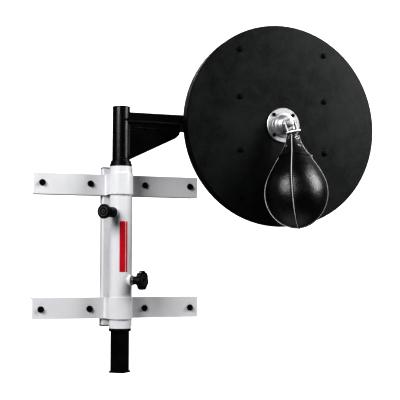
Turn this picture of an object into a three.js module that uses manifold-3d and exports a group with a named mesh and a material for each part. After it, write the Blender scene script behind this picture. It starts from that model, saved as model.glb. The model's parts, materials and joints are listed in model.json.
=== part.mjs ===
// Wall mounted speed bag platform, in millimetres. Z is up, Y = 0 is the wall, the room is on -Y,
// X = 0 is the post axis and Z = 0 is midway between the two wall brackets.
import * as THREE from 'three';
import { mergeVertices } from 'three/addons/utils/BufferGeometryUtils.js';
import Module from 'manifold-3d';

const wasm = await Module();
wasm.setup();

const GAP = 0.3;
const AXIS_Y = -70;

const SPINE = { width: 92, depth: 32, wall: 3, corner: 6, half: 228 };
const SLEEVE = { outer: 31.75, inner: 29.25, bottom: -236, top: 230 };
const BRACKET = { halfLength: 246, height: 60.7, thick: 4, face: -36.6, mid: 178.6, flange: 4 };
const LAG = { columns: [-222, -82, 82, 222], row: 181, shank: 3.9, tip: 30 };
const POST = { side: 40, wall: 2.5, corner: 2.5, bottom: -356, top: 402 };
const HEAD = { outer: 25.4, wall: 3, bottom: 247, floor: 3 };
const HOLE_PITCH = 25;
const HOLE_COUNT = 5;
const PIN_Z = 95;
const CLAMP_Z = -99;
const PIN_DIR = new THREE.Vector3(-Math.SQRT1_2, -Math.SQRT1_2, 0);
const CLAMP_DIR = new THREE.Vector3(Math.SQRT1_2, -Math.SQRT1_2, 0);
const ARM = { side: 38, wall: 2.5, corner: 2.5, z: 366, end: 206 };
const GUSSET = { offset: 19, thick: 4, start: 19.7, bottom: 251 };
const SPINDLE = { outer: 22, inner: 19, end: 655 };
const PIVOT = { outer: 25.4, inner: 22.3, start: 217.3, end: 650 };
const STUD_RADIUS = 38;
const BOARD = { x: 483, z: 365.5, radius: 304.8, band: 2, back: -104, front: -142 };
const BAR = { width: 50, thick: 8, half: 250 };
const BOLT_COLUMNS = [-138, 138];
const BOLT_ROWS = [-223, -80, 80, 223];
const SWIVEL = { plate: 53, screws: 31, pin: 47.3 };
const SWIVEL_ROLL = THREE.MathUtils.degToRad(13);
const SHACKLE_LEAN = THREE.MathUtils.degToRad(12);
const BAG_LEAN = THREE.MathUtils.degToRad(12.6);
const SHACKLE = { drop: 30.5, half: 18.5, leg: 4.5, depth: 10 };
const BAG = { belly: 92, low: 104, neck: 22, length: 258, top: 34 };

const group = new THREE.Group();
const X = new THREE.Vector3(1, 0, 0);
const Y = new THREE.Vector3(0, 1, 0);
const Z = new THREE.Vector3(0, 0, 1);

// ---------- solids ----------

function solid(geometry) {
  const bare = geometry.clone();
  bare.deleteAttribute('normal');
  bare.deleteAttribute('uv');
  const merged = mergeVertices(bare, 1e-4);
  const index = merged.index.array;
  const triVerts = Uint32Array.from(index);
  const vertProperties = Float32Array.from(merged.attributes.position.array);
  return new wasm.Manifold(new wasm.Mesh({ numProp: 3, vertProperties, triVerts }));
}

function geometryOf(body) {
  const mesh = body.getMesh();
  const geometry = new THREE.BufferGeometry();
  geometry.setAttribute('position', new THREE.BufferAttribute(Float32Array.from(mesh.vertProperties), 3));
  geometry.setIndex(Array.from(mesh.triVerts));
  geometry.computeVertexNormals();
  return geometry;
}

function joined(parts) {
  return parts.slice(1).reduce((sum, part) => sum.add(part), parts[0]);
}

function add(name, body, color, roughness = 0.6, metalness = 0.1) {
  const material = new THREE.MeshStandardMaterial({ color, roughness, metalness });
  material.name = name;
  const mesh = new THREE.Mesh(geometryOf(body), material);
  mesh.name = name;
  group.add(mesh);
}

// A frame whose local Z runs along `along` and whose local X is as near `side` as it can be.
function frame(origin, along, side = X) {
  const z = along.clone().normalize();
  const y = new THREE.Vector3().crossVectors(z, side).normalize();
  const x = new THREE.Vector3().crossVectors(y, z);
  return new THREE.Matrix4().makeBasis(x, y, z).setPosition(origin);
}

function placed(geometry, origin, along, side) {
  return solid(geometry.clone().applyMatrix4(frame(origin, along, side)));
}

function box(x0, x1, y0, y1, z0, z1) {
  const geometry = new THREE.BoxGeometry(x1 - x0, y1 - y0, z1 - z0);
  geometry.translate((x0 + x1) / 2, (y0 + y1) / 2, (z0 + z1) / 2);
  return solid(geometry);
}

// Solid of revolution about local Z from [radius, height] pairs that start and end on the axis.
function turned(profile, segments = 32) {
  const points = profile.map(([r, h]) => new THREE.Vector2(r, h));
  const geometry = new THREE.LatheGeometry(points, segments);
  geometry.rotateX(Math.PI / 2);
  return geometry;
}

function rod(radius, from, to, segments = 20) {
  return turned([[0, from], [radius, from], [radius, to], [0, to]], segments);
}

function ring(outer, inner, from, to, segments = 40) {
  return turned([[inner, from], [outer, from], [outer, to], [inner, to], [inner, from]], segments);
}

function roundedSquare(width, height, corner) {
  const w = width / 2;
  const h = height / 2;
  const shape = new THREE.Shape();
  shape.moveTo(-w + corner, -h);
  shape.lineTo(w - corner, -h);
  shape.absarc(w - corner, -h + corner, corner, -Math.PI / 2, 0);
  shape.absarc(w - corner, h - corner, corner, 0, Math.PI / 2);
  shape.absarc(-w + corner, h - corner, corner, Math.PI / 2, Math.PI);
  shape.absarc(-w + corner, -h + corner, corner, Math.PI, 1.5 * Math.PI);
  return shape;
}

function extruded(shape, from, to, curveSegments = 3) {
  const geometry = new THREE.ExtrudeGeometry(shape, { depth: to - from, bevelEnabled: false, curveSegments });
  geometry.translate(0, 0, from);
  return geometry;
}

function squareBar(side, corner, from, to) {
  return extruded(roundedSquare(side, side, corner), from, to);
}

function hexagon(acrossFlats, from, to) {
  const corner = acrossFlats / Math.sqrt(3);
  return turned([[0, from], [corner, from], [corner, to], [0, to]], 6);
}

function polygon(points) {
  const shape = new THREE.Shape();
  points.forEach(([x, y], i) => (i ? shape.lineTo(x, y) : shape.moveTo(x, y)));
  return shape;
}

// Square stock standing on Z, turned so that one corner faces the room.
function postStock(side, corner, from, to) {
  const geometry = squareBar(side, corner, from, to);
  geometry.rotateZ(Math.PI / 4);
  geometry.translate(0, AXIS_Y, 0);
  return solid(geometry);
}

function postRing(outer, inner, from, to) {
  return placed(ring(outer, inner, from, to, 48), new THREE.Vector3(0, AXIS_Y, 0), Z);
}

// ---------- wall frame ----------

function buildSpine() {
  const centre = new THREE.Vector3(0, -SPINE.depth / 2, 0);
  const tube = (inset, half) => {
    const outline = roundedSquare(SPINE.width - 2 * inset, SPINE.depth - 2 * inset, SPINE.corner - inset);
    return placed(extruded(outline, -half, half), centre, Z);
  };
  add('spine_tube', tube(0, SPINE.half).subtract(tube(SPINE.wall, SPINE.half + 5)), 0xeeeeee, 0.45);
  for (const [name, side] of [['spine_cap_top', 1], ['spine_cap_bottom', -1]]) {
    const plug = SPINE.wall + GAP;
    const lid = extruded(roundedSquare(SPINE.width, SPINE.depth, SPINE.corner), 0, 3);
    const insert = extruded(
      roundedSquare(SPINE.width - 2 * plug, SPINE.depth - 2 * plug, SPINE.corner - plug), -14, 1);
    const at = new THREE.Vector3(0, -SPINE.depth / 2, side * (SPINE.half + GAP));
    const along = Z.clone().multiplyScalar(side);
    add(name, placed(lid, at, along).add(placed(insert, at, along)), 0x111111);
  }
}

function radialHole(direction, radius, z) {
  const at = new THREE.Vector3(0, AXIS_Y, z);
  return placed(rod(radius, 5, 60, 32), at, direction, Z);
}

function buildSleeve() {
  const tube = postRing(SLEEVE.outer, SLEEVE.inner, SLEEVE.bottom, SLEEVE.top);
  const drilled = tube.subtract(radialHole(PIN_DIR, 6, PIN_Z)).subtract(radialHole(CLAMP_DIR, 7, CLAMP_Z));
  add('sleeve_tube', drilled, 0xf0f0f0, 0.45);
  const saddle = postRing(SLEEVE.outer + GAP, 1, -300, 300).add(postRing(1.5, 0.5, -300, 300));
  for (const [name, direction, z, outer, inner, end] of [
    ['pin_boss', PIN_DIR, PIN_Z, 10, 6, 42],
    ['clamp_boss', CLAMP_DIR, CLAMP_Z, 15, 7, 40],
  ]) {
    const at = new THREE.Vector3(0, AXIS_Y, z);
    const tubeStub = placed(ring(outer, inner, 20, end, 48), at, direction, Z);
    add(name, tubeStub.subtract(saddle), 0xf0f0f0, 0.45);
  }
}

// The strap runs flat along the wall side and bends round the front of the sleeve.
function strapShape() {
  const { halfLength, face, thick } = BRACKET;
  const inner = SLEEVE.outer + GAP;
  const outer = inner + thick;
  const fillet = 6;
  const centreX = outer + fillet;
  const centreY = face - fillet;
  const shape = new THREE.Shape();
  shape.moveTo(-halfLength, face);
  shape.lineTo(-centreX, face);
  shape.absarc(-centreX, centreY, fillet, Math.PI / 2, 0, true);
  shape.absarc(0, AXIS_Y, outer, Math.PI, 2 * Math.PI, false);
  shape.absarc(centreX, centreY, fillet, Math.PI, Math.PI / 2, true);
  shape.lineTo(halfLength, face);
  shape.lineTo(halfLength, face + thick);
  shape.lineTo(centreX, face + thick);
  shape.absarc(centreX, centreY, fillet + thick, Math.PI / 2, Math.PI, false);
  shape.absarc(0, AXIS_Y, inner, 2 * Math.PI, Math.PI, true);
  shape.absarc(-centreX, centreY, fillet + thick, 0, Math.PI / 2, false);
  shape.lineTo(-halfLength, face + thick);
  return shape;
}

function flangeShape(side) {
  const near = side * (SPINE.width / 2 + 0.5);
  const far = side * BRACKET.halfLength;
  const clip = side * 12;
  return polygon([[near, 0], [far - clip, 0], [far, -12], [far, BRACKET.face], [near, BRACKET.face]]);
}

function buildBracket(name, side) {
  const centre = side * BRACKET.mid;
  const half = BRACKET.height / 2;
  let bracket = solid(extruded(strapShape(), centre - half, centre + half, 10));
  const inner = centre - side * half;
  const [low, high] = side > 0 ? [inner, inner + BRACKET.flange] : [inner - BRACKET.flange, inner];
  for (const hand of [-1, 1]) {
    bracket = bracket.add(solid(extruded(flangeShape(hand), low, high)));
  }
  for (const x of LAG.columns) {
    const at = new THREE.Vector3(x, 0, side * LAG.row);
    bracket = bracket.subtract(placed(rod(4.5, 20, 50, 16), at, Y.clone().negate()));
  }
  add(name, bracket, 0xe6e6e6, 0.45);
}

function buildLagBolts(name, side) {
  const head = -BRACKET.face + GAP;
  const shank = turned([
    [0, -LAG.tip], [LAG.shank, -LAG.tip + 8], [LAG.shank, head], [9, head], [9, head + 1.6], [0, head + 2],
  ], 16);
  LAG.columns.forEach((x, i) => {
    const at = new THREE.Vector3(x, 0, side * LAG.row);
    const toRoom = Y.clone().negate();
    const bolt = placed(shank, at, toRoom).add(placed(hexagon(13, head + 1, head + 6.5), at, toRoom));
    add(`${name}_${i + 1}`, bolt, 0x151515, 0.5, 0.4);
  });
}

// ---------- post and bushings ----------

function buildBushings() {
  const hole = postStock(POST.side + 2 * GAP, POST.corner + GAP, -400, 450);
  const insert = SLEEVE.inner - GAP;
  const top = [
    postRing(insert, 1, 170, SLEEVE.top + 1),
    postRing(SLEEVE.outer, 1, SLEEVE.top + GAP, SLEEVE.top + 8),
    postRing(29.6, 1, SLEEVE.top + 7, SLEEVE.top + 15.5),
  ];
  const bottom = [
    postRing(insert, 1, SLEEVE.bottom - 1, -176),
    postRing(SLEEVE.outer, 1, SLEEVE.bottom - 7.5, SLEEVE.bottom - GAP),
  ];
  add('bushing_top', joined(top).subtract(hole), 0x101010, 0.5);
  add('bushing_bottom', joined(bottom).subtract(hole), 0x101010, 0.5);
}

function postRod(radius, from, to) {
  return placed(rod(radius, from, to, 48), new THREE.Vector3(0, AXIS_Y, 0), Z, X);
}

// Square stock below, welded under the floor of the round head tube.
function buildPost() {
  let post = postStock(POST.side, POST.corner, POST.bottom, HEAD.bottom + 1);
  post = post.subtract(postStock(POST.side - 2 * POST.wall, 1, POST.bottom - 5, HEAD.bottom - 0.5));
  const bore = postRod(HEAD.outer - HEAD.wall, HEAD.bottom + HEAD.floor, POST.top + 5);
  post = post.add(postRod(HEAD.outer, HEAD.bottom, POST.top).subtract(bore));
  for (let i = 0; i < HOLE_COUNT; i += 1) {
    for (const direction of [PIN_DIR, CLAMP_DIR]) {
      const at = new THREE.Vector3(0, AXIS_Y, PIN_Z - i * HOLE_PITCH);
      post = post.subtract(placed(rod(5.5, 8, 40, 16), at, direction, Z));
    }
  }
  add('post_tube', post, 0x131313, 0.45, 0.2);
  const plug = POST.side - 2 * POST.wall - 2 * GAP;
  const top = postRod(HEAD.outer, POST.top + GAP, POST.top + 3.5);
  const topPlug = postRod(HEAD.outer - HEAD.wall - GAP, POST.top - 14, POST.top + 1);
  add('post_top_cap', top.add(topPlug), 0x0d0d0d);
  const foot = postStock(47, 4, POST.bottom - 5, POST.bottom - GAP);
  add('post_foot_cap', foot.add(postStock(plug, 1, POST.bottom - 1, POST.bottom + 16)), 0x0d0d0d);
}

// Square stock along X, turned so that one corner is on top.
function armStock(side, corner, from, to) {
  const geometry = squareBar(side, corner, from, to);
  geometry.rotateZ(Math.PI / 4);
  return placed(geometry, new THREE.Vector3(0, AXIS_Y, ARM.z), X, Y);
}

function alongArm(geometry) {
  return placed(geometry, new THREE.Vector3(0, AXIS_Y, ARM.z), X, Y);
}

function buildArm() {
  const room = postRod(HEAD.outer + GAP, 250, 480);
  let arm = armStock(ARM.side, ARM.corner, 1, ARM.end).subtract(room);
  arm = arm.subtract(armStock(ARM.side - 2 * ARM.wall, 1, -5, ARM.end + 5));
  add('arm_tube', arm, 0x131313, 0.45, 0.2);
  const outline = polygon([
    [GUSSET.start, GUSSET.bottom], [26, GUSSET.bottom + 1], [160, 317.8], [170.8, 328.7], [174, 340],
    [174, 355.5], [GUSSET.start, 355.5],
  ]);
  for (const [name, side] of [['gusset_front', -1], ['gusset_rear', 1]]) {
    const at = new THREE.Vector3(0, AXIS_Y + side * GUSSET.offset, 0);
    const plate = extruded(outline, -GUSSET.thick / 2, GUSSET.thick / 2);
    plate.rotateX(Math.PI / 2);
    plate.translate(at.x, at.y, at.z);
    add(name, solid(plate), 0x131313, 0.5, 0.2);
  }
}

// The index plate has an arc slot from the wall side to the top, which the clamp stud runs in.
function buildIndexPlate() {
  const from = ARM.end + GAP;
  const to = from + 6;
  const lobe = new THREE.Shape();
  lobe.moveTo(0, 0);
  lobe.lineTo(49 * Math.cos(-0.3), 49 * Math.sin(-0.3));
  lobe.absarc(0, 0, 49, -0.3, Math.PI / 2 + 0.3, false);
  const quarter = box(from - 3, to + 3, AXIS_Y, AXIS_Y + 60, ARM.z, ARM.z + 60);
  const top = new THREE.Vector3(0, AXIS_Y, ARM.z + STUD_RADIUS);
  const slot = joined([
    alongArm(ring(STUD_RADIUS + 4.6, STUD_RADIUS - 4.6, from - 2, to + 2)).intersect(quarter),
    studRod(4.6, from - 2, to + 2),
    placed(rod(4.6, from - 2, to + 2), top, X, Y),
  ]);
  const plate = alongArm(rod(29, from, to, 48)).add(alongArm(extruded(lobe, from, to, 24)));
  add('tilt_index_plate', plate.subtract(slot), 0x161616, 0.5, 0.3);
}

function buildSpindle() {
  const tube = ring(SPINDLE.outer, SPINDLE.inner, ARM.end + 6.6, SPINDLE.end);
  add('spindle_tube', alongArm(tube), 0x8d9094, 0.3, 0.9);
  const cap = alongArm(rod(27, SPINDLE.end + GAP, SPINDLE.end + 5))
    .add(alongArm(rod(SPINDLE.inner - GAP, SPINDLE.end - 14, SPINDLE.end + 1)));
  add('spindle_end_cap', cap, 0x0d0d0d);
}

// ---------- board ----------

function onBoard(x, z, height = 0) {
  return new THREE.Vector3(BOARD.x + x, BOARD.front - height, BOARD.z + z);
}

function towardRoom(geometry, x, z, height = 0) {
  return placed(geometry, onBoard(x, z, height), Y.clone().negate(), X);
}

function buildPivot() {
  add('pivot_tube', alongArm(ring(PIVOT.outer, PIVOT.inner, PIVOT.start, PIVOT.end)), 0x131313, 0.45, 0.2);
  const from = ARM.end + 6.6;
  const arm = new THREE.Shape();
  arm.moveTo(0, -9);
  arm.lineTo(STUD_RADIUS, -9);
  arm.absarc(STUD_RADIUS, 0, 9, -Math.PI / 2, Math.PI / 2, false);
  arm.lineTo(0, 9);
  const tab = alongArm(rod(28, from, from + 4, 48)).add(alongArm(extruded(arm, from, from + 4, 12)));
  const open = tab.subtract(alongArm(rod(SPINDLE.outer + GAP, from - 2, from + 8, 64)));
  add('tilt_stud_tab', open.add(studRod(4, 184, from + 2)), 0x8d9094, 0.4, 0.8);
}

function studFrame(geometry) {
  return placed(geometry, new THREE.Vector3(0, AXIS_Y + STUD_RADIUS, ARM.z), X, Y);
}

function studRod(radius, from, to) {
  return studFrame(rod(radius, from, to, 32));
}

function buildTiltKnob() {
  const end = ARM.end;
  const knob = studRod(9.5, end - 20, end - 6).add(studRod(7, end - 7, end - GAP));
  add('tilt_clamp_knob', knob.subtract(studRod(4.3, 170, 220)), 0x0e0e0e, 0.5);
}

function buildCrossbars() {
  const back = BOARD.back + GAP;
  for (const [name, x] of [['crossbar_left', BOLT_COLUMNS[0]], ['crossbar_right', BOLT_COLUMNS[1]]]) {
    const centre = BOARD.x + x;
    let bar = box(centre - BAR.width / 2, centre + BAR.width / 2, back, back + BAR.thick, ARM.z - BAR.half,
      ARM.z + BAR.half);
    for (const z of BOLT_ROWS) {
      bar = bar.subtract(towardRoom(rod(4.4, -60, 0, 16), x, z));
    }
    add(name, bar, 0x161616, 0.5, 0.3);
  }
}

function buildBoard() {
  const thick = BOARD.back - BOARD.front;
  let panel = towardRoom(rod(BOARD.radius - BOARD.band - GAP, -thick, 0, 84), 0, 0);
  for (const x of BOLT_COLUMNS) {
    for (const z of BOLT_ROWS) {
      panel = panel.subtract(towardRoom(rod(4.4, -50, 5, 16), x, z));
    }
  }
  for (const x of [-1, 1]) {
    for (const z of [-1, 1]) {
      const hole = rod(2.7, -28, 5, 12);
      panel = panel.subtract(towardRoom(hole, x * SWIVEL.screws, z * SWIVEL.screws));
    }
  }
  add('board_panel', panel, 0x1b1b1b, 0.55);
  const band = ring(BOARD.radius, BOARD.radius - BOARD.band, -thick + 0.5, -0.5, 84);
  add('board_edge_band', towardRoom(band, 0, 0), 0x0f0f0f, 0.6);
}

// The bolts pass through the board and screw into the tapped crossbars.
function buildBoardBolts() {
  const bolt = turned([[0, -52], [4, -52], [4, GAP], [8.5, GAP], [8.5, 1.4], [6.4, 3.2], [0, 4.5]], 16);
  BOLT_COLUMNS.forEach((x, column) => {
    BOLT_ROWS.forEach((z, row) => {
      add(`board_bolt_${column * BOLT_ROWS.length + row + 1}`, towardRoom(bolt, x, z), 0x111111, 0.45, 0.4);
    });
  });
}

// ---------- swivel ----------

function buildSwivel() {
  const housing = turned([
    [16, GAP], [SWIVEL.plate, GAP], [SWIVEL.plate, 3], [51.5, 4.5], [37.5, 4.5], [36.5, 8], [31, 9], [29, 12],
    [24, 22], [21.5, 25], [21.5, 30], [19.5, 31.5], [8.7, 31.5], [8.7, 25], [16, 25], [16, GAP],
  ], 40);
  let plate = towardRoom(housing, 0, 0);
  const screw = turned([[0, -24], [2.2, -20], [2.2, 4.9], [5.6, 4.9], [5.2, 6.8], [0, 8]], 14);
  const corners = [[-1, -1], [-1, 1], [1, -1], [1, 1]];
  corners.forEach(([x, z], i) => {
    const [sx, sz] = [x * SWIVEL.screws, z * SWIVEL.screws];
    plate = plate.subtract(towardRoom(rod(2.8, -5, 10, 12), sx, sz));
    add(`swivel_screw_${i + 1}`, towardRoom(screw, sx, sz), 0x1a1a1a, 0.4, 0.6);
  });
  add('swivel_housing', plate, 0xc4c6c8, 0.25, 1);
  const race = turned([
    [9.4, 19.1], [13.8, 19.1], [14.6, 20], [14.6, 23.8],
    [13.8, 24.7], [9.4, 24.7], [8.9, 23.8], [8.9, 20], [9.4, 19.1],
  ], 28);
  add('swivel_bearing', towardRoom(race, 0, 0), 0xb9bcbf, 0.2, 1);
  const nose = turned([
    [0, 13], [15.4, 13], [15.4, 18.8], [8.3, 18.8], [8.3, 33],
    [11, 33.5], [12, 35], [12, 50], [10, 54], [5, 56], [0, 56],
  ], 36);
  const hole = placed(rod(3.4, -20, 20, 24), pivotPoint(), pinAxis(), Y);
  add('swivel_nose', towardRoom(nose, 0, 0).subtract(hole), 0xc4c6c8, 0.25, 1);
}

function pivotPoint() {
  return onBoard(0, 0, SWIVEL.pin);
}

function pinAxis() {
  return new THREE.Vector3(Math.cos(SWIVEL_ROLL), 0, Math.sin(SWIVEL_ROLL));
}

// Unit vector that hangs from the pin, leaned into the room by `lean` and rolled with the swivel.
function hanging(lean, roll) {
  const down = new THREE.Vector3(Math.sin(roll), 0, -Math.cos(roll));
  return down.multiplyScalar(Math.cos(lean)).addScaledVector(Y, -Math.sin(lean));
}

function barCentre() {
  return pivotPoint().addScaledVector(hanging(SHACKLE_LEAN, SWIVEL_ROLL), SHACKLE.drop);
}

// Local X is the pin axis and local Z points down the shackle.
function onShackle(geometry) {
  return placed(geometry, pivotPoint(), hanging(SHACKLE_LEAN, SWIVEL_ROLL), pinAxis());
}

function buildShackle() {
  const { half, leg, drop, depth } = SHACKLE;
  const outline = new THREE.Shape();
  outline.moveTo(-half, -6);
  outline.lineTo(-half + leg, -6);
  outline.lineTo(-half + leg, drop - 2.5);
  outline.lineTo(half - leg, drop - 2.5);
  outline.lineTo(half - leg, -6);
  outline.lineTo(half, -6);
  outline.lineTo(half, drop - 3);
  outline.absarc(half - 5.5, drop - 3, 5.5, 0, Math.PI / 2, false);
  outline.absarc(-half + 5.5, drop - 3, 5.5, Math.PI / 2, Math.PI, false);
  const strap = extruded(outline, -depth / 2, depth / 2, 8);
  strap.rotateX(Math.PI / 2);
  const hole = placed(rod(3.3, -30, 30, 24), pivotPoint(), pinAxis(), Y);
  add('shackle', onShackle(strap).subtract(hole), 0xd0d2d4, 0.25, 1);
  const pin = turned([
    [0, -22.6], [4, -22.6], [5, -21.6], [5, -18.9], [3, -18.9],
    [3, 18.9], [5, 18.9], [5, 21.6], [4, 22.6], [0, 22.6],
  ], 24);
  add('shackle_pin', placed(pin, pivotPoint(), pinAxis(), Y), 0xb0b2b4, 0.3, 1);
}

// ---------- bag ----------

// Local Z points down the bag from the middle of the shackle's bar.
function onBag(geometry) {
  return placed(geometry, barCentre(), hanging(BAG_LEAN, 0), pinAxis());
}

function bagProfile() {
  const { belly, low, neck, length, top } = BAG;
  const bellyAt = top + length - low;
  const upper = new THREE.CubicBezierCurve(
    new THREE.Vector2(neck, top), new THREE.Vector2(neck + 21, top + 56),
    new THREE.Vector2(belly, bellyAt - 66), new THREE.Vector2(belly, bellyAt),
  ).getPoints(16).map((p) => [p.x, p.y]);
  const lower = [];
  for (let i = 1; i < 12; i += 1) {
    const angle = (i / 12) * (Math.PI / 2);
    lower.push([belly * Math.cos(angle), bellyAt + low * Math.sin(angle)]);
  }
  return [[0, top], ...upper, ...lower, [0, top + length]];
}

function buildBag() {
  add('bag_body', onBag(turned(bagProfile(), 40)), 0x141414, 0.5);
  const outline = new THREE.Shape();
  outline.moveTo(-12, 30.5);
  outline.lineTo(-9.5, 0);
  outline.absarc(0, 0, 9.5, Math.PI, 2 * Math.PI, false);
  outline.lineTo(12, 30.5);
  const eye = new THREE.Path();
  eye.absarc(0, 0, 6.2, 0, 2 * Math.PI, false);
  outline.holes.push(eye);
  const loop = extruded(outline, -11, 11, 12);
  loop.applyMatrix4(new THREE.Matrix4().makeBasis(Y, Z, X));
  add('bag_loop', placed(loop, barCentre(), hanging(BAG_LEAN, SWIVEL_ROLL), pinAxis()), 0x101010, 0.6);
}

// ---------- height pin and clamp ----------

function onPin(geometry) {
  return placed(geometry, new THREE.Vector3(0, AXIS_Y, PIN_Z), PIN_DIR, Z);
}

function onClamp(geometry) {
  return placed(geometry, new THREE.Vector3(0, AXIS_Y, CLAMP_Z), CLAMP_DIR, Z);
}

function buildPin() {
  const barrel = turned([
    [5.2, 42.3], [15, 42.3], [15, 70], [13.5, 72], [5.2, 72],
    [5.2, 68], [8.6, 68], [8.6, 45], [5.2, 45], [5.2, 42.3],
  ], 40);
  add('pin_barrel', onPin(barrel), 0x111111, 0.5);
  const plunger = turned([
    [0, 27.8], [3.8, 27.8], [4.8, 29.4], [4.8, 57], [8.2, 57], [8.2, 60], [4.8, 60], [4.8, 90], [0, 90],
  ], 32);
  add('pin_plunger', onPin(plunger), 0xb0b2b4, 0.3, 1);
  const knob = turned([
    [0, 90.3], [5.1, 90.3], [5.1, 82.5], [9, 82.5], [9, 84],
    [18, 84], [20.5, 86], [20.5, 92], [17.5, 94], [0, 94],
  ], 40);
  add('pin_knob', onPin(knob), 0x0e0e0e, 0.45);
  buildPinSpring();
}

class Helix extends THREE.Curve {
  constructor(radius, from, to, turns) {
    super();
    Object.assign(this, { radius, from, to, turns });
  }

  getPoint(t, target = new THREE.Vector3()) {
    const angle = t * this.turns * 2 * Math.PI;
    const height = this.from + t * (this.to - this.from);
    return target.set(this.radius * Math.cos(angle), this.radius * Math.sin(angle), height);
  }
}

function buildPinSpring() {
  const wire = new THREE.Shape();
  wire.absarc(0, 0, 0.7, 0, 2 * Math.PI, false);
  const coil = new THREE.ExtrudeGeometry(wire, {
    steps: 48, bevelEnabled: false, curveSegments: 3, extrudePath: new Helix(6.7, 61.2, 67, 4),
  });
  add('pin_spring', onPin(coil), 0x9da0a3, 0.3, 1);
}

function starShape(radius, depth, lobes) {
  const points = [];
  const count = lobes * 8;
  for (let i = 0; i < count; i += 1) {
    const angle = (i / count) * 2 * Math.PI;
    const r = radius - depth * (0.5 - 0.5 * Math.cos(lobes * angle)) ** 2;
    points.push([r * Math.cos(angle), r * Math.sin(angle)]);
  }
  return polygon(points);
}

function buildClamp() {
  const screw = onClamp(rod(6, 33.3, 76, 32));
  add('clamp_screw', screw, 0xb0b2b4, 0.3, 1);
  const star = new THREE.ExtrudeGeometry(starShape(26.4, 2.4, 7), {
    depth: 8, bevelEnabled: true, bevelThickness: 1.6, bevelSize: 1.6, bevelSegments: 2,
  });
  star.translate(0, 0, 68.5);
  const knob = onClamp(star).add(onClamp(rod(12, 47.5, 70, 40))).subtract(onClamp(rod(6.3, 30, 76.3, 32)));
  add('clamp_knob', knob, 0x0e0e0e, 0.45);
  add('clamp_pad', onClamp(rod(6.2, 27.8, 33, 32)), 0x1c1c1c, 0.7);
}

buildSpine();
buildSleeve();
buildBracket('bracket_upper', 1);
buildBracket('bracket_lower', -1);
buildLagBolts('lag_bolt_upper', 1);
buildLagBolts('lag_bolt_lower', -1);
buildBushings();
buildPost();
buildArm();
buildIndexPlate();
buildSpindle();
buildPivot();
buildTiltKnob();
buildCrossbars();
buildBoard();
buildBoardBolts();
buildSwivel();
buildShackle();
buildBag();
buildPin();
buildClamp();

export default group;
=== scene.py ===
"""Wall mounted speed bag platform: finish, leather bag, welds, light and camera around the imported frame."""
import json
import math

import bmesh
import bpy
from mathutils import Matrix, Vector, noise


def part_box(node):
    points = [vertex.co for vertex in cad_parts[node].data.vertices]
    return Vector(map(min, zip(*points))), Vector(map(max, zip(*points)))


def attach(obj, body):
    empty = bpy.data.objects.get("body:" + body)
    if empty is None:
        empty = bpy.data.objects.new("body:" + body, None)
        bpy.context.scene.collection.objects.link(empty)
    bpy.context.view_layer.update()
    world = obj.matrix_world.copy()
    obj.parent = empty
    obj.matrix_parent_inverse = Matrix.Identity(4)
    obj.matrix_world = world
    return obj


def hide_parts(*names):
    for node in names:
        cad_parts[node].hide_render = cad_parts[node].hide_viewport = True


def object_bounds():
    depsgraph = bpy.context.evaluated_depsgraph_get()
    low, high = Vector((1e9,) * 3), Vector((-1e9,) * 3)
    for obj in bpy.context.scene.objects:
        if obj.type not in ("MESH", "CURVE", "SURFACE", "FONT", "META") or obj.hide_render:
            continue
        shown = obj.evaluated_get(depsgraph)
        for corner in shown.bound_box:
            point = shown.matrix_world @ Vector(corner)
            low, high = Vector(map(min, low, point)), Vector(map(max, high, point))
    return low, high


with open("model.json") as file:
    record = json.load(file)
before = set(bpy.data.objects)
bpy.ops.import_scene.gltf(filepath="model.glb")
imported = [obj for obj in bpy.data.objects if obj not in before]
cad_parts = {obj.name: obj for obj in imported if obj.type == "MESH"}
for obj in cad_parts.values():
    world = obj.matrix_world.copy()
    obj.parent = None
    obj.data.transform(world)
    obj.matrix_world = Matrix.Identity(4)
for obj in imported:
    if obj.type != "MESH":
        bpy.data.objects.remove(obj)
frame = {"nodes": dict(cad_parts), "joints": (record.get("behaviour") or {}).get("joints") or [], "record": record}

cad_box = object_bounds()
joints = {joint["name"]: joint for joint in frame["joints"]}

# ---------- driving values, in metres and radians ----------

POST_AXIS = Vector(joints["arm_swing"]["pos_m"])
SLEEVE_RADIUS = (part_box("sleeve_tube")[1].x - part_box("sleeve_tube")[0].x) / 2
HEAD_RADIUS = (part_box("post_top_cap")[1].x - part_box("post_top_cap")[0].x) / 2
BAR = Vector(joints["bag_swing"]["pos_m"])
PIN_AXIS = -Vector(joints["bag_swing"]["axis"])
BAG_LEAN = math.radians(12.6)
BAG_ROLL = math.radians(2.7)
BAG_TOP = 0.009
BAG_NECK = 0.0168
BAG_BELLY = 0.0895
BAG_BELLY_AT = 0.188
BAG_END = 0.292
SEAMS = [math.radians(angle) for angle in (29.5, 119.0, 205.0, 299.0)]
CAMERA_AT = Vector((-0.6327, -2.6414, -0.0705))
CAMERA_PITCH = 0.0770
CAMERA_YAW = 0.3282
CAMERA_LENS = 82.1


# ---------- node materials ----------

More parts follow.
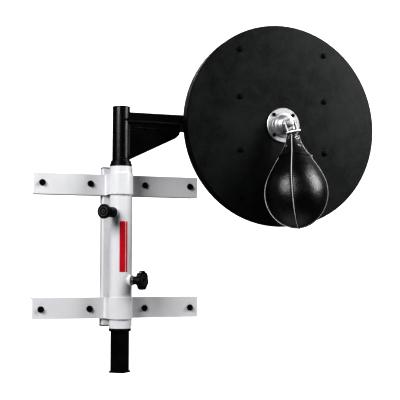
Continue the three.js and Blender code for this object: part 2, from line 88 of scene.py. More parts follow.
class Surface:
    """One node material around a Principled shader, with short calls for what varies over the surface."""

    def __init__(self, name, **fixed):
        self.material = bpy.data.materials.new(name)
        self.material.use_nodes = True
        self.tree = self.material.node_tree
        self.shader = self.tree.nodes["Principled BSDF"]
        self.place = self.node("ShaderNodeTexCoord").outputs["Object"]
        self.height = None
        for socket, value in fixed.items():
            self.shader.inputs[socket.replace("_", " ")].default_value = value

    def node(self, kind, **settings):
        made = self.tree.nodes.new(kind)
        for key, value in settings.items():
            setattr(made, key, value)
        return made

    def link(self, source, target):
        self.tree.links.new(source, target)

    def stretched(self, scale):
        mapping = self.node("ShaderNodeMapping")
        mapping.inputs["Scale"].default_value = scale
        self.link(self.place, mapping.inputs["Vector"])
        return mapping.outputs["Vector"]

    def noise(self, scale, detail=4.0, rough=0.55, place=None, distortion=0.0):
        made = self.node("ShaderNodeTexNoise")
        made.inputs["Scale"].default_value = scale
        made.inputs["Detail"].default_value = detail
        made.inputs["Roughness"].default_value = rough
        made.inputs["Distortion"].default_value = distortion
        self.link(place or self.place, made.inputs["Vector"])
        return made.outputs["Fac"]

    def cells(self, scale, feature="F1", place=None):
        made = self.node("ShaderNodeTexVoronoi", feature=feature)
        made.inputs["Scale"].default_value = scale
        self.link(place or self.place, made.inputs["Vector"])
        return made.outputs["Distance"]

    def spread(self, value, from_low, from_high, low, high):
        made = self.node("ShaderNodeMapRange")
        limits = {"From Min": from_low, "From Max": from_high, "To Min": low, "To Max": high}
        for socket, number in limits.items():
            made.inputs[socket].default_value = number
        self.link(value, made.inputs["Value"])
        return made.outputs["Result"]

    def maths(self, operation, first, second):
        made = self.node("ShaderNodeMath", operation=operation)
        for socket, value in zip(made.inputs, (first, second)):
            if isinstance(value, (int, float)):
                socket.default_value = value
            else:
                self.link(value, socket)
        return made.outputs[0]

    def blend(self, share, first, second):
        made = self.node("ShaderNodeMix", data_type="RGBA")
        self.link(share, made.inputs["Factor"])
        for socket, value in ((made.inputs[6], first), (made.inputs[7], second)):
            if isinstance(value, tuple):
                socket.default_value = (*value, 1.0)
            else:
                self.link(value, socket)
        return made.outputs[2]

    def color(self, value):
        self.link(value, self.shader.inputs["Base Color"])

    def rough(self, value):
        self.link(value, self.shader.inputs["Roughness"])

    def bump(self, value, distance, strength=1.0):
        made = self.node("ShaderNodeBump")
        made.inputs["Distance"].default_value = distance
        made.inputs["Strength"].default_value = strength
        self.link(value, made.inputs["Height"])
        if self.height is not None:
            self.link(self.height, made.inputs["Normal"])
        self.height = made.outputs["Normal"]
        self.link(self.height, self.shader.inputs["Normal"])


def worn(surface, clean, soiled, rubbed):
    """Base colour with a faint cloudy soiling and lighter rubbed places on convex edges."""
    cloud = surface.spread(surface.noise(9, 6), 0.42, 0.72, 0, 1)
    tone = surface.blend(cloud, clean, soiled)
    rounded = surface.node("ShaderNodeBevel", samples=4)
    rounded.inputs["Radius"].default_value = 0.0012
    facing = surface.node("ShaderNodeVectorMath", operation="DOT_PRODUCT")
    surface.link(rounded.outputs["Normal"], facing.inputs[0])
    surface.link(surface.node("ShaderNodeNewGeometry").outputs["Normal"], facing.inputs[1])
    edge = surface.spread(facing.outputs["Value"], 0.985, 0.90, 0, 1)
    broken = surface.spread(surface.noise(70, 5), 0.54, 0.70, 0, 0.8)
    surface.color(surface.blend(surface.maths("MULTIPLY", edge, broken), tone, rubbed))


def powder_coat(name, clean, soiled, rubbed, low, high, peel):
    surface = Surface(name, Specular_IOR_Level=0.5)
    worn(surface, clean, soiled, rubbed)
    surface.rough(surface.spread(surface.noise(26, 5), 0.35, 0.7, low, high))
    surface.bump(surface.noise(420, 3, 0.5), peel, 0.5)
    surface.bump(surface.noise(36, 3), 0.0006, 0.25)
    return surface.material


def moulded_plastic(name, tone, low, high, shine=0.38):
    surface = Surface(name, Specular_IOR_Level=shine)
    worn(surface, tone, tuple(1.5 * c for c in tone), (0.03, 0.03, 0.03))
    surface.rough(surface.spread(surface.noise(60, 5), 0.35, 0.7, low, high))
    surface.bump(surface.cells(1500), 0.00006, 0.6)
    return surface.material


def turned_metal(name, bright, dull, low, high, scratch):
    surface = Surface(name, Metallic=1.0)
    cloud = surface.spread(surface.noise(40, 6, 0.65), 0.38, 0.72, 0, 1)
    surface.color(surface.blend(cloud, bright, dull))
    lines = surface.noise(90, 4, 0.6, surface.stretched((1, 9, 1)))
    surface.rough(surface.spread(surface.maths("ADD", lines, cloud), 0.4, 1.5, low, high))
    surface.bump(lines, scratch, 0.4)
    return surface.material


def board_laminate(name):
    surface = Surface(name, Specular_IOR_Level=0.46)
    mottle = surface.spread(surface.noise(26, 8, 0.68, distortion=0.6), 0.36, 0.68, 0, 1)
    grime = surface.spread(surface.noise(5, 4), 0.4, 0.7, 0, 1)
    tone = surface.blend(mottle, (0.0040, 0.0044, 0.0046), (0.0125, 0.0135, 0.0138))
    surface.color(surface.blend(grime, tone, (0.0130, 0.0140, 0.0140)))
    surface.rough(surface.spread(surface.maths("ADD", mottle, grime), 0, 2, 0.40, 0.54))
    surface.bump(surface.noise(330, 5, 0.7), 0.00034, 0.65)
    surface.bump(surface.cells(95, "SMOOTH_F1"), 0.0006, 0.18)
    return surface.material


def grained_leather(name, deep, lifted, low, high, grain=0.00042):
    surface = Surface(name, Specular_IOR_Level=0.75)
    pores = surface.cells(620, "DISTANCE_TO_EDGE")
    folds = surface.cells(210, "SMOOTH_F1", surface.stretched((1, 1, 0.6)))
    patch = surface.spread(surface.noise(22, 6), 0.38, 0.7, 0, 1)
    surface.color(surface.blend(patch, deep, lifted))
    surface.rough(surface.spread(surface.maths("ADD", patch, pores), 0, 1.4, low, high))
    surface.bump(folds, grain * 1.6, 0.35)
    surface.bump(pores, grain, 0.55)
    surface.bump(surface.noise(48, 4), 0.0012, 0.22)
    return surface.material


def woven_thread(name, tone, darker):
    surface = Surface(name, Sheen_Weight=0.2, Specular_IOR_Level=0.3)
    fibre = surface.noise(900, 3)
    surface.color(surface.blend(surface.spread(fibre, 0.35, 0.7, 0, 1), tone, darker))
    surface.rough(surface.spread(fibre, 0.3, 0.7, 0.6, 0.85))
    surface.bump(fibre, 0.0003, 0.6)
    return surface.material


FINISH = {
    "white_steel": powder_coat(
        "white_coat", (0.65, 0.65, 0.663), (0.61, 0.61, 0.623), (0.53, 0.52, 0.51), 0.30, 0.46, 0.00016
    ),
    "black_steel": powder_coat(
        "black_coat", (0.0040, 0.0040, 0.0043), (0.0065, 0.0065, 0.007), (0.05, 0.05, 0.05),
        0.24, 0.40, 0.00018,
    ),
    "black_plastic": moulded_plastic("moulded_plastic", (0.0050, 0.0050, 0.0052), 0.30, 0.44),
    "black_fastener": moulded_plastic("oxide_fastener", (0.0025, 0.0025, 0.0025), 0.60, 0.75, 0.2),
    "bright_steel": turned_metal("turned_steel", (0.62, 0.62, 0.63), (0.50, 0.50, 0.51), 0.24, 0.38, 0.00004),
    "chrome_steel": turned_metal("plated_steel", (0.60, 0.60, 0.61), (0.52, 0.52, 0.53), 0.44, 0.56, 0.00001),
    "board_face": board_laminate("board_laminate"),
    "edge_trim": moulded_plastic("edge_trim", (0.0030, 0.0030, 0.0030), 0.62, 0.76, 0.2),
    "black_leather": grained_leather(
        "bag_leather", (0.0022, 0.0022, 0.0024), (0.0042, 0.0042, 0.0044), 0.33, 0.46
    ),
    "pad_rubber": moulded_plastic("pad_rubber", (0.03, 0.03, 0.03), 0.7, 0.85),
}
PATCH_LEATHER = grained_leather(
    "patch_leather", (0.0040, 0.0040, 0.0042), (0.0080, 0.0080, 0.0082), 0.36, 0.52, 0.0003
)
PIPING = woven_thread("piping", (0.62, 0.62, 0.62), (0.42, 0.42, 0.42))
THREAD = woven_thread("thread", (0.05, 0.05, 0.05), (0.025, 0.025, 0.025))
LACE = woven_thread("lace", (0.50, 0.50, 0.50), (0.30, 0.30, 0.30))
EYELET = turned_metal("eyelet", (0.30, 0.30, 0.30), (0.20, 0.20, 0.20), 0.42, 0.55, 0.00004)
KEEPER = turned_metal("keeper_bar", (0.95, 0.95, 0.95), (0.88, 0.88, 0.88), 0.58, 0.70, 0.00002)
# Light grey colour of the raised knob rings: a painted highlight on the black knobs.
KNOB_RING_HIGHLIGHT = moulded_plastic("ring_painted_highlight", (0.16, 0.16, 0.16), 0.4, 0.55)
RED_PAINT = powder_coat(
    "red_paint", (0.50, 0.012, 0.03), (0.42, 0.010, 0.025), (0.6, 0.2, 0.2), 0.34, 0.5, 0.00012
)


# ---------- CAD nodes: finish, small bevels and smooth curves ----------

BEVEL = {
    "post_top_cap": 0.0025,
    "bracket_upper": 0.0009,
    "bracket_lower": 0.0009,
    "board_edge_band": 0.0007,
    "post_tube": 0.0005,
}
PLAIN_BEVEL = 0.0006
BARE = {"pin_spring", "swivel_bearing"}


def soften(node, width):
    """Merges flat facets, then rounds the real edges and keeps the flats flat."""
    for polygon in node.data.polygons:
        polygon.use_smooth = True
    flat = node.modifiers.new("flat", "DECIMATE")
    flat.decimate_type = "DISSOLVE"
    flat.angle_limit = math.radians(0.6)
    edge = node.modifiers.new("edge", "BEVEL")
    edge.width = width
    edge.segments = 2
    edge.limit_method = "ANGLE"
    edge.angle_limit = math.radians(32)
    edge.miter_outer = "MITER_ARC"
    even = node.modifiers.new("even", "WEIGHTED_NORMAL")
    even.keep_sharp = True
    even.weight = 100


def finish_nodes():
    slots = {part["node"]: part["material_slot"] for part in frame["record"]["subparts"]}
    for name, node in frame["nodes"].items():
        node.data.materials.clear()
        node.data.materials.append(FINISH[slots[name]])
        if name not in BARE:
            soften(node, BEVEL.get(name, PLAIN_BEVEL))


# ---------- mesh helpers ----------

def new_piece(name, points, faces, material, body):
    mesh = bpy.data.meshes.new(name)
    mesh.from_pydata([tuple(p) for p in points], [], faces)
    mesh.validate()
    shape = bmesh.new()
    shape.from_mesh(mesh)
    bmesh.ops.recalc_face_normals(shape, faces=shape.faces)
    shape.to_mesh(mesh)
    shape.free()
    for polygon in mesh.polygons:
        polygon.use_smooth = True
    mesh.materials.append(material)
    piece = bpy.data.objects.new(name, mesh)
    bpy.context.scene.collection.objects.link(piece)
    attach(piece, body)
    return piece


class Shape:
    """Collects closed shells that end up in one mesh."""

    def __init__(self):
        self.points = []
        self.faces = []

    def grid(self, rows):
        """Closed rows of points become a skin; each end row is closed with one face."""
        start = len(self.points)
        wide = len(rows[0])
        for row in rows:
            self.points.extend(row)
        for i in range(len(rows) - 1):
            for j in range(wide):
                a = start + i * wide + j
                b = start + i * wide + (j + 1) % wide
                self.faces.append((a, b, b + wide, a + wide))
        self.faces.append(tuple(range(start, start + wide)))
        last = start + (len(rows) - 1) * wide
        self.faces.append(tuple(reversed(range(last, last + wide))))

    def sweep(self, path, radius, sides=8, flat=1.0, up=None):
        """A round or flattened tube along a path; radius may be a function of the share along it."""
        rows = []
        for i, at in enumerate(path):
            ahead = path[min(i + 1, len(path) - 1)] - path[max(i - 1, 0)]
            ahead.normalize()
            guide = up[i] if up else Vector((0.3, 0.2, 1)).normalized()
            side = ahead.cross(guide).normalized()
            lift = side.cross(ahead)
            r = radius(i / (len(path) - 1)) if callable(radius) else radius
            row = []
            for k in range(sides):
                turn = 2 * math.pi * k / sides
                row.append(at + side * (r * math.cos(turn)) + lift * (r * flat * math.sin(turn)))
            rows.append(row)
        self.grid(rows)

    def piece(self, name, material, slot, body):
        return new_piece(name, self.points, self.faces, material, body)


def smoothstep(low, high, value):
    share = min(max((value - low) / (high - low), 0.0), 1.0)
    return share * share * (3 - 2 * share)


# ---------- leather bag ----------

# The bag's own frame: local z runs down its middle from the shackle's bar, x lies along the bar,
# and angles turn from x towards the room.
BAG_DOWN = Vector((-math.sin(BAG_ROLL), -math.sin(BAG_LEAN), -math.cos(BAG_LEAN))).normalized()
BAG_SIDE = (PIN_AXIS - BAG_DOWN * PIN_AXIS.dot(BAG_DOWN)).normalized()
BAG_FRONT = BAG_DOWN.cross(BAG_SIDE)
UPPER = ((BAG_TOP, BAG_NECK), (0.060, 0.016), (0.118, BAG_BELLY), (BAG_BELLY_AT, BAG_BELLY))
BELLY_SHARE = 0.6
PANEL_BULGE = 0.014
GROOVE_DEPTH = 0.0021
GROOVE_WIDTH = 0.0030
PUCKER_PITCH = 0.0072
PUCKER_AWAY = 0.0075
PUCKER_WIDTH = 0.0055
PUCKER_HEIGHT = 0.00028
LARGE_CREASE = 0.0009
SMALL_CREASE = 0.00025


def bezier(points, share):
    rest = 1 - share
    weights = (rest ** 3, 3 * rest * rest * share, 3 * rest * share * share, share ** 3)
    return (sum(w * p[0] for w, p in zip(weights, points)), sum(w * p[1] for w, p in zip(weights, points)))


def bag_outline(share):
    """Depth along the bag and its radius; share runs 0 at the bar to 1 at the bottom."""
    if share < BELLY_SHARE:
        return bezier(UPPER, share / BELLY_SHARE)
    turn = (share - BELLY_SHARE) / (1 - BELLY_SHARE) * math.pi / 2
    return (BAG_BELLY_AT + (BAG_END - BAG_BELLY_AT) * math.sin(turn), BAG_BELLY * math.cos(turn))


def panels():
    """Start and end angle of each leather panel."""
    return list(zip(SEAMS, SEAMS[1:] + [SEAMS[0] + 2 * math.pi]))


def panel_place(angle):
    """Signed angle from the nearest seam, and how far the panel bulges there, from 0 to 1."""
    angle = (angle - SEAMS[0]) % (2 * math.pi) + SEAMS[0]
    for start, end in panels():
        if start <= angle <= end:
            bulge = math.sin(math.pi * (angle - start) / (end - start)) ** 1.3
            return (angle - start if angle - start < end - angle else angle - end), bulge
    return 0.0, 0.0


def bag_point(share, angle, lift=0.0, shaped=True):
    depth, radius = bag_outline(share)
    flatness = 0.72 + 0.28 * smoothstep(BAG_TOP, 0.080, depth)
    if shaped and radius > 0.002:
        away, bulge = panel_place(angle)
        reach = abs(away) * radius
        body = smoothstep(0.02, 0.07, depth) * smoothstep(0.0, 0.03, radius)
        radius *= 1 + PANEL_BULGE * body * (bulge - 0.5)
        radius -= GROOVE_DEPTH * math.exp(-((reach / GROOVE_WIDTH) ** 2)) * smoothstep(0.004, 0.03, radius)
        along = depth * 2 * math.pi / PUCKER_PITCH + (1.7 if away > 0 else 0)
        pucker = math.exp(-(((reach - PUCKER_AWAY) / PUCKER_WIDTH) ** 2)) * math.sin(along)
        radius += PUCKER_HEIGHT * pucker * smoothstep(0.03, 0.07, depth) * smoothstep(0.01, 0.04, radius)
    x = (radius + lift) * math.cos(angle)
    y = (radius * flatness + lift) * math.sin(angle)
    at = BAR + BAG_DOWN * depth + BAG_SIDE * x + BAG_FRONT * y
    if shaped:
        creases = noise.noise(at * 24) * LARGE_CREASE + noise.noise(at * 75) * SMALL_CREASE
        out = BAG_SIDE * math.cos(angle) + BAG_FRONT * math.sin(angle)
        at += out * creases * smoothstep(0.004, 0.03, radius)
    return at


def outward(share, angle):
    """Unit vector out of the leather."""
    along = bag_point(share + 0.004, angle, shaped=False) - bag_point(share - 0.004, angle, shaped=False)
    across = bag_point(share, angle + 0.02, shaped=False) - bag_point(share, angle - 0.02, shaped=False)
    return across.cross(along).normalized()


def build_bag_shell():
    rows_down, around = ((230, 416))
    rows = []
    for i in range(rows_down):
        share = i / (rows_down - 1) * 0.9985
        rows.append([bag_point(share, 2 * math.pi * j / around) for j in range(around)])
    shape = Shape()
    shape.grid(rows)
    bag = shape.piece("bag_shell", FINISH["black_leather"], "black_leather", "bag")
    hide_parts("bag_body")


PIPING_RADIUS = 0.00135
PIPING_LIFT = 0.0018
STITCH_PITCH = 0.0052
STITCH_AWAY = 0.0046
STITCH_RADIUS = 0.00042


def build_piping():
    """Light welt cord in each seam, from the bar's loop to the bottom."""
    shape = Shape()
    for angle in SEAMS:
        shares = [0.004 + 0.990 * i / 150 for i in range(151)]
        path = [bag_point(s, angle, PIPING_LIFT, shaped=False) for s in shares]
        shape.sweep(path, PIPING_RADIUS, 10, up=[outward(max(s, 0.01), angle) for s in shares])
    shape.piece("bag_piping", PIPING, "black_leather", "bag")


def build_stitches():
    """Two rows of lock stitches beside each seam."""
    shape = Shape()
    for angle in SEAMS:
        for hand in (-1, 1):
            last = None
            for i in range(1, 460):
                share = 0.06 + 0.90 * i / 460
                depth, radius = bag_outline(share)
                here = Vector((depth, radius))
                if last is None:
                    last = here
                if (here - last).length < STITCH_PITCH:
                    continue
                last = here
                turn = angle + hand * STITCH_AWAY / radius
                path = []
                for k in range(5):
                    s = share + (k - 2) * 0.00145
                    arch = 0.00035 * (1 - ((k - 2) / 2) ** 2)
                    path.append(bag_point(s, turn, arch + 0.0001))
                shape.sweep(path, lambda t: STITCH_RADIUS * (0.55 + 0.45 * math.sin(math.pi * t)), 6)
    shape.piece("bag_stitches", THREAD, "black_leather", "bag")


PATCH_TOP = 0.012
PATCH_LOW = 0.246
PATCH_TONGUE = 0.030
STRAP_HALF_WIDTH = 0.0118
STRAP_PLY = 0.0017
STRAP_REACH = 0.030
STRAP_SPREAD = 0.0022


def build_neck_patches():
    """Reinforcing leather round the neck, one scalloped tongue a panel, with an edge of real thickness."""
    shape = Shape()
    columns, down = 28, 22
    for start, end in panels():
        outer, inner = [], []
        for i in range(down + 1):
            row_out, row_in = [], []
            for j in range(columns + 1):
                across = j / columns
                angle = start + (end - start) * (0.085 + 0.83 * across)
                low = PATCH_LOW + PATCH_TONGUE * math.sin(math.pi * across) ** 0.8
                share = PATCH_TOP + (low - PATCH_TOP) * i / down
                fade = min(1, 3.2 * min(across, 1 - across) + 0.35)
                row_out.append(bag_point(share, angle, 0.0010 + 0.0012 * fade))
                row_in.append(bag_point(share, angle, 0.0002))
            outer.append(row_out)
            inner.append(row_in)
        loops = [out + list(reversed(back)) for out, back in zip(outer, inner)]
        shape.grid(loops)
    patches = shape.piece("bag_neck_patches", PATCH_LEATHER, "black_leather", "bag")
    edge = patches.modifiers.new("edge", "BEVEL")
    edge.width = 0.0004
    edge.segments = 2
    edge.angle_limit = math.radians(50)


def build_loop():
    """Doubled leather strap that goes over the bar, in two plies."""
    shape = Shape()
    for inner in (0.0063, 0.0081):
        rows = []
        outline = []
        for i in range(12):
            share = i / 12
            outline.append((-(inner + STRAP_SPREAD * (1 - share)), STRAP_REACH * (1 - share)))
        for i in range(25):
            turn = math.pi * i / 24
            outline.append((-inner * math.cos(turn), -inner * math.sin(turn)))
        for i in range(1, 13):
            share = i / 12
            outline.append((inner + STRAP_SPREAD * share, STRAP_REACH * share))
        for i, (depth, down) in enumerate(outline):
            ahead = Vector(outline[min(i + 1, len(outline) - 1)]) - Vector(outline[max(i - 1, 0)])
            normal = Vector((-ahead.y, ahead.x)).normalized()
            if i == 0 or normal.dot(Vector((depth, min(down, 0)))) < 0:
                normal = -normal
            row = []
            for side in range(2):
                for w in range(9):
                    across = (w / 8 if side == 0 else 1 - w / 8) * 2 - 1
                    out = 0 if side == 0 else STRAP_PLY * (1 - 0.35 * across ** 6)
                    flat = Vector((depth, down)) + normal * out
                    at = BAR + PIN_AXIS * (STRAP_HALF_WIDTH * across) + BAG_FRONT * flat.x + BAG_DOWN * flat.y
                    row.append(at)
            rows.append(row)
        shape.grid(rows)
    loop = shape.piece("bag_strap", PATCH_LEATHER, "black_leather", "bag")
    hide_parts("bag_loop")


EYELET_SHARES = (0.050, 0.150)
EYELET_SIZE = (0.0052, 0.0034, 0.0024)
HOLE_SIZE = (0.0012, 0.0008, 0.0011)
LACE_TURNS = 7
LACE_SWING = 0.0052
LACE_RADIUS = 0.0011
KNOT_RADIUS = 0.0010
KEEPER_HALF = 0.0200
KEEPER_AHEAD = 0.0122
KEEPER_BEND = 0.005
KEEPER_RADIUS = 0.0034


def ring_on_bag(shape, share, angle, wide, tall, wire):
    """An oval eyelet that lies on the leather."""
    up = outward(share, angle)
    centre = bag_point(share, angle, 0.0024)
    below = bag_point(share + 0.01, angle, shaped=False)
    above = bag_point(share - 0.01, angle, shaped=False)
    down = (below - above).normalized()
    across = up.cross(down).normalized()
    rows = []
    for i in range(33):
        turn = 2 * math.pi * i / 32
        out = across * math.cos(turn) * wide + down * math.sin(turn) * tall
        row = []
        for k in range(10):
            roll = 2 * math.pi * k / 10
            scale = 1 + wire / wide * math.cos(roll)
            row.append(centre + out * scale + up * (wire * 0.55 * math.sin(roll)))
        rows.append(row)
    shape.grid(rows)


def build_eyelets():
    shape = Shape()
    holes = Shape()
    for start, end in panels():
        middle = (start + end) / 2
        for share in EYELET_SHARES:
            ring_on_bag(shape, share, middle, *EYELET_SIZE)
            ring_on_bag(holes, share, middle, *HOLE_SIZE)
    shape.piece("bag_eyelets", EYELET, "bright_steel", "bag")
    holes.piece("bag_eyelet_holes", THREAD, "black_leather", "bag")


def build_lacing():
    """Lace that zigzags over the right front seam of the neck, and ends in a tucked knot."""
    shape = Shape()
    angle = SEAMS[0]
    path = []
    for i in range(LACE_TURNS * 12 + 1):
        travel = i / 12
        share = 0.03 + 0.225 * travel / LACE_TURNS
        radius = bag_outline(share)[1]
        swing = math.sin(travel * math.pi) * LACE_SWING / radius
        lift = 0.0032 + 0.0012 * abs(math.cos(travel * math.pi))
        path.append(bag_point(share, angle + swing, lift, shaped=False))
    shape.sweep(path, LACE_RADIUS, 8)
    knot = []
    centre = bag_point(0.262, angle, 0.0042, shaped=False)
    for i in range(61):
        turn = 2 * math.pi * i / 60
        knot.append(centre + BAG_SIDE * 0.0028 * math.sin(2 * turn) + BAG_DOWN * 0.0034 * math.cos(3 * turn)
                    + BAG_FRONT * 0.0014 * math.sin(3 * turn))
    shape.sweep(knot, KNOT_RADIUS, 8)
    shape.piece("bag_lacing", LACE, "black_leather", "bag")


def build_keeper():
    """Bright bar in front of the strap, its ends bent back to the shackle's bar. It turns with the bag."""
    def corner(hand, turn):
        across = PIN_AXIS * (hand * (KEEPER_HALF - KEEPER_BEND * (1 - math.cos(turn))))
        return BAR + across + BAG_FRONT * KEEPER_AHEAD - BAG_FRONT * (KEEPER_BEND * (1 - math.sin(turn)))

    turns = [math.pi / 2 * i / 8 for i in range(9)]
    path = [BAR - PIN_AXIS * KEEPER_HALF + BAG_FRONT * 0.002]
    path += [corner(-1, turn) for turn in turns]
    path += [corner(1, turn) for turn in reversed(turns)]
    path.append(BAR + PIN_AXIS * KEEPER_HALF + BAG_FRONT * 0.002)
    shape = Shape()
    shape.sweep(resample(path, 60), KEEPER_RADIUS, 12, up=[BAG_DOWN] * 61)
    shape.piece("shackle_keeper", KEEPER, "bright_steel", "bag")


def build_bag():
    build_bag_shell()
    build_piping()
    build_stitches()
    build_neck_patches()
    build_loop()
    build_eyelets()
    build_lacing()


# ---------- welds, stripe and knob rings ----------

BRACKET_BEAD = 0.0022
BOSS_BEAD = 0.0016
GUSSET_BEAD = 0.0024
FOOT_BEAD = 0.0030
SOLE_BEAD = 0.0022
STRIPES = ((-3.0, 15.0), (20.0, 4.5))
STRIPE_LOW = -0.075
STRIPE_HIGH = 0.070
PAINT_OUTER = 0.00022
PAINT_INNER = 0.00004
RING_WIRE = 0.0006


def weld_bead(shape, path, radius, up):
    """A rippled bead: the tube swells once every ripple."""
    length = sum((b - a).length for a, b in zip(path, path[1:]))
    ripples = max(int(length / (radius * 1.5)), 3)
    steps = ripples * 6
    even = resample(path, steps)
    wave = [0.82 + 0.18 * abs(math.sin(math.pi * ripples * i / steps)) for i in range(steps + 1)]
    wobble = [1 + 0.10 * noise.noise(p * 160) for p in even]

    def size(share):
        i = round(share * steps)
        end = min(1, 6 * share + 0.35, 6 * (1 - share) + 0.35)
        return radius * wave[i] * wobble[i] * end

    shape.sweep(even, size, 10, up=[up] * len(even))


def resample(path, steps):
    lengths = [0.0]
    for a, b in zip(path, path[1:]):
        lengths.append(lengths[-1] + (b - a).length)
    result = []
    k = 0
    for i in range(steps + 1):
        want = lengths[-1] * i / steps
        while k < len(lengths) - 2 and lengths[k + 1] < want:
            k += 1
        share = (want - lengths[k]) / max(lengths[k + 1] - lengths[k], 1e-9)
        result.append(path[k].lerp(path[k + 1], share))
    return result


def build_bracket_welds():
    """Beads where each bracket's bend meets the sleeve, over the front."""
    shape = Shape()
    for name in ("bracket_upper", "bracket_lower"):
        low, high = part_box(name)
        for z, hand in ((low.z, -1), (high.z, 1)):
            path = []
            for i in range(49):
                angle = math.radians(-90 - 62 + 124 * i / 48)
                out = Vector((math.cos(angle), math.sin(angle), 0))
                path.append(Vector((0, POST_AXIS.y, z + hand * 0.0006)) + out * (SLEEVE_RADIUS + 0.0010))
            weld_bead(shape, path, BRACKET_BEAD, Vector((0, 0, 1)))
    shape.piece("bracket_welds", FINISH["white_steel"], "white_steel", "wall_frame")


def build_boss_welds():
    shape = Shape()
    for name, hand in (("pin_boss", -1), ("clamp_boss", 1)):
        low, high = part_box(name)
        middle = (low.z + high.z) / 2
        radius = (high.z - low.z) / 2
        out = Vector((hand, -1, 0)).normalized()
        side = Vector((0, 0, 1)).cross(out)
        path = []
        for i in range(49):
            turn = 2 * math.pi * i / 48
            across = radius * math.cos(turn)
            rise = radius * math.sin(turn)
            reach = math.sqrt(SLEEVE_RADIUS ** 2 - across ** 2) + 0.0008
            path.append(Vector((0, POST_AXIS.y, middle + rise)) + side * across + out * reach)
        weld_bead(shape, path, BOSS_BEAD, out)
    shape.piece("boss_welds", FINISH["white_steel"], "white_steel", "wall_frame")


def build_arm_welds():
    """Beads along both gussets, to the arm and to the post, and round the arm's joint to the post."""
    shape = Shape()
    for name, hand in (("gusset_front", -1), ("gusset_rear", 1)):
        low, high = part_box(name)
        face = low.y if hand < 0 else high.y
        line = [Vector((low.x + 0.004, face, high.z - 0.012)), Vector((high.x, face, high.z - 0.012))]
        weld_bead(shape, resample(line, 40), GUSSET_BEAD, Vector((0, hand, 0)))
        foot = [Vector((low.x - 0.0008, face - hand * 0.0015, z)) for z in (low.z + 0.001, high.z - 0.002)]
        weld_bead(shape, resample(foot, 40), FOOT_BEAD, Vector((0, hand, 0)))
        sole = []
        for i in range(25):
            turn = math.radians(41 + 67 * i / 24)
            out = Vector((math.cos(turn), hand * math.sin(turn), 0))
            sole.append(Vector((0, POST_AXIS.y, low.z + 0.0012)) + out * (HEAD_RADIUS + 0.0006))
        weld_bead(shape, sole, SOLE_BEAD, Vector((0, 0, 1)))
    shape.piece("arm_welds", FINISH["black_steel"], "black_steel", "post_arm")


def build_stripe():
    """A plain painted red bar with a thin one beside it, up the front of the sleeve."""
    bar = Shape()
    outer = SLEEVE_RADIUS + PAINT_OUTER
    inner = SLEEVE_RADIUS + PAINT_INNER
    for centre, half in STRIPES:
        rows = []
        for i in range(41):
            z = STRIPE_LOW + (STRIPE_HIGH - STRIPE_LOW) * i / 40
            cut = 0.006 * (1 - smoothstep(0, 0.02, min(z - STRIPE_LOW, STRIPE_HIGH - z) + 0.008))
            row = []
            for radius, order in ((outer, 1), (inner, -1)):
                for j in range(15):
                    share = j / 14 if order > 0 else 1 - j / 14
                    angle = math.radians(-90 + centre + half * (1 - 10 * cut) * (2 * share - 1))
                    row.append(Vector((radius * math.cos(angle), POST_AXIS.y + radius * math.sin(angle), z)))
            rows.append(row)
        bar.grid(rows)
    bar.piece("sleeve_stripe", RED_PAINT, "white_steel", "wall_frame")


def face_ring(shape, centre, out, radius, wire):
    """A raised ring on a knob's end face."""
    side = Vector((0, 0, 1)).cross(out).normalized()
    lift = out.cross(side)
    path = []
    for i in range(65):
        turn = 2 * math.pi * i / 64
        path.append(centre + side * (radius * math.cos(turn)) + lift * (radius * math.sin(turn)))
    shape.sweep(path, wire, 8, up=[out] * 65)


def knob_end(node, out):
    """Centre of a knob's outer face: its box's middle, moved out to the face."""
    points = [vertex.co for vertex in frame["nodes"][node].data.vertices]
    reach = max(point.dot(out) for point in points)
    low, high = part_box(node)
    middle = Vector((0, POST_AXIS.y, (low.z + high.z) / 2))
    return middle + out * (reach - middle.dot(out))


def build_knob_faces():
    """Two moulded rings on each knob's end face, with no lettering; their light grey colour is a painted highlight
    on the black knob.
    """
    for name, node, hand, body, radii in (
        ("pin_knob_rings", "pin_knob", -1, "height_pin", (0.0045, 0.0125)),
        ("clamp_knob_rings", "clamp_knob", 1, "clamp_handle", (0.0085, 0.0150)),
    ):
        out = Vector((hand, -1, 0)).normalized()
        centre = knob_end(node, out)
        shape = Shape()
        for radius in radii:
            face_ring(shape, centre, out, radius, RING_WIRE)
        shape.piece(name, KNOB_RING_HIGHLIGHT, "black_plastic", body)


# ---------- floor, light and camera ----------

FLOOR_SIZE = 3.6
FLOOR_DROP = 0.95
FLOOR_TONE = (0.64, 0.64, 0.64)
FLOOR_ROUGHNESS = 0.9
FLOOR_FADE = (0.35, 0.95)
FILL_STRENGTH = 0.07
SENSOR_WIDTH = 36
LIGHTS = (
    ("key", (-2.5, -2.0, 1.9), (0.1, -0.1, 0.0), (2.1, 2.1), 118),
    ("sheen", (2.5, -1.3, 1.55), (0.6, -0.14, 0.40), (1.3, 2.1), 76),
    ("back", (0.4, 2.4, 1.6), (0.2, 0, 0), (2.0, 2.0), 45),
)


def stage_plane(name, centre, size, tone):
    """A square floor that fades out before it reaches its own edges."""
    half = size / 2
    corners = [(-half, -half, 0), (half, -half, 0), (half, half, 0), (-half, half, 0)]
    mesh = bpy.data.meshes.new(name)
    mesh.from_pydata(corners, [], [(0, 1, 2, 3)])
    floor = bpy.data.objects.new(name, mesh)
    floor.location = centre
    bpy.context.scene.collection.objects.link(floor)
    surface = Surface(name, Roughness=FLOOR_ROUGHNESS)
    surface.color(surface.blend(surface.noise(3, 4), tone, tuple(0.97 * c for c in tone)))
    away = surface.node("ShaderNodeVectorMath", operation="LENGTH")
    surface.link(surface.place, away.inputs[0])
    solid = surface.spread(away.outputs["Value"], FLOOR_FADE[0] * half, FLOOR_FADE[1] * half, 1, 0)
    surface.link(solid, surface.shader.inputs["Alpha"])
    mesh.materials.append(surface.material)


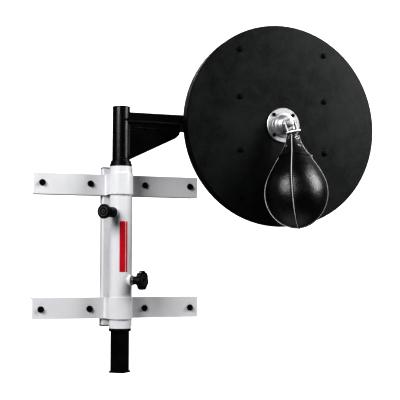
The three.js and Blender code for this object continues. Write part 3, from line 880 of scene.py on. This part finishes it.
def area_light(name, at, aim, size, watts):
    data = bpy.data.lights.new(name, "AREA")
    data.shape = "RECTANGLE"
    data.size, data.size_y = size
    data.energy = watts
    lamp = bpy.data.objects.new(name, data)
    lamp.location = at
    lamp.rotation_mode = "QUATERNION"
    lamp.rotation_quaternion = (Vector(aim) - Vector(at)).to_track_quat("-Z", "Y")
    bpy.context.scene.collection.objects.link(lamp)


def build_world():
    world = bpy.data.worlds.new("studio")
    bpy.context.scene.world = world
    world.use_nodes = True
    tree = world.node_tree
    seen = tree.nodes["Background"]
    seen.inputs["Color"].default_value = (1, 1, 1, 1)
    seen.inputs["Strength"].default_value = 1.0
    fill = tree.nodes.new("ShaderNodeBackground")
    fill.inputs["Color"].default_value = (0.95, 0.97, 1, 1)
    fill.inputs["Strength"].default_value = FILL_STRENGTH
    ray = tree.nodes.new("ShaderNodeLightPath")
    mix = tree.nodes.new("ShaderNodeMixShader")
    tree.links.new(ray.outputs["Is Camera Ray"], mix.inputs["Fac"])
    tree.links.new(fill.outputs["Background"], mix.inputs[1])
    tree.links.new(seen.outputs["Background"], mix.inputs[2])
    tree.links.new(mix.outputs["Shader"], tree.nodes["World Output"].inputs["Surface"])


def build_stage():
    low, high = cad_box
    middle = (Vector(low) + Vector(high)) / 2
    stage_plane("floor", Vector((middle.x, middle.y, low[2] - FLOOR_DROP)), FLOOR_SIZE, FLOOR_TONE)
    for light in LIGHTS:
        area_light(*light)
    build_world()


def build_camera():
    data = bpy.data.cameras.new("camera")
    data.lens = CAMERA_LENS
    data.sensor_width = SENSOR_WIDTH
    camera = bpy.data.objects.new("camera", data)
    camera.location = CAMERA_AT
    camera.rotation_euler = (math.pi / 2 + CAMERA_PITCH, 0, -CAMERA_YAW)
    bpy.context.scene.collection.objects.link(camera)
    bpy.context.scene.camera = camera
    bpy.context.scene.view_settings.view_transform = "Standard"
    bpy.context.scene.view_settings.look = "Very High Contrast"


build_camera()
finish_nodes()
build_bag()
build_keeper()
build_bracket_welds()
build_boss_welds()
build_arm_welds()
build_stripe()
build_knob_faces()
build_stage()
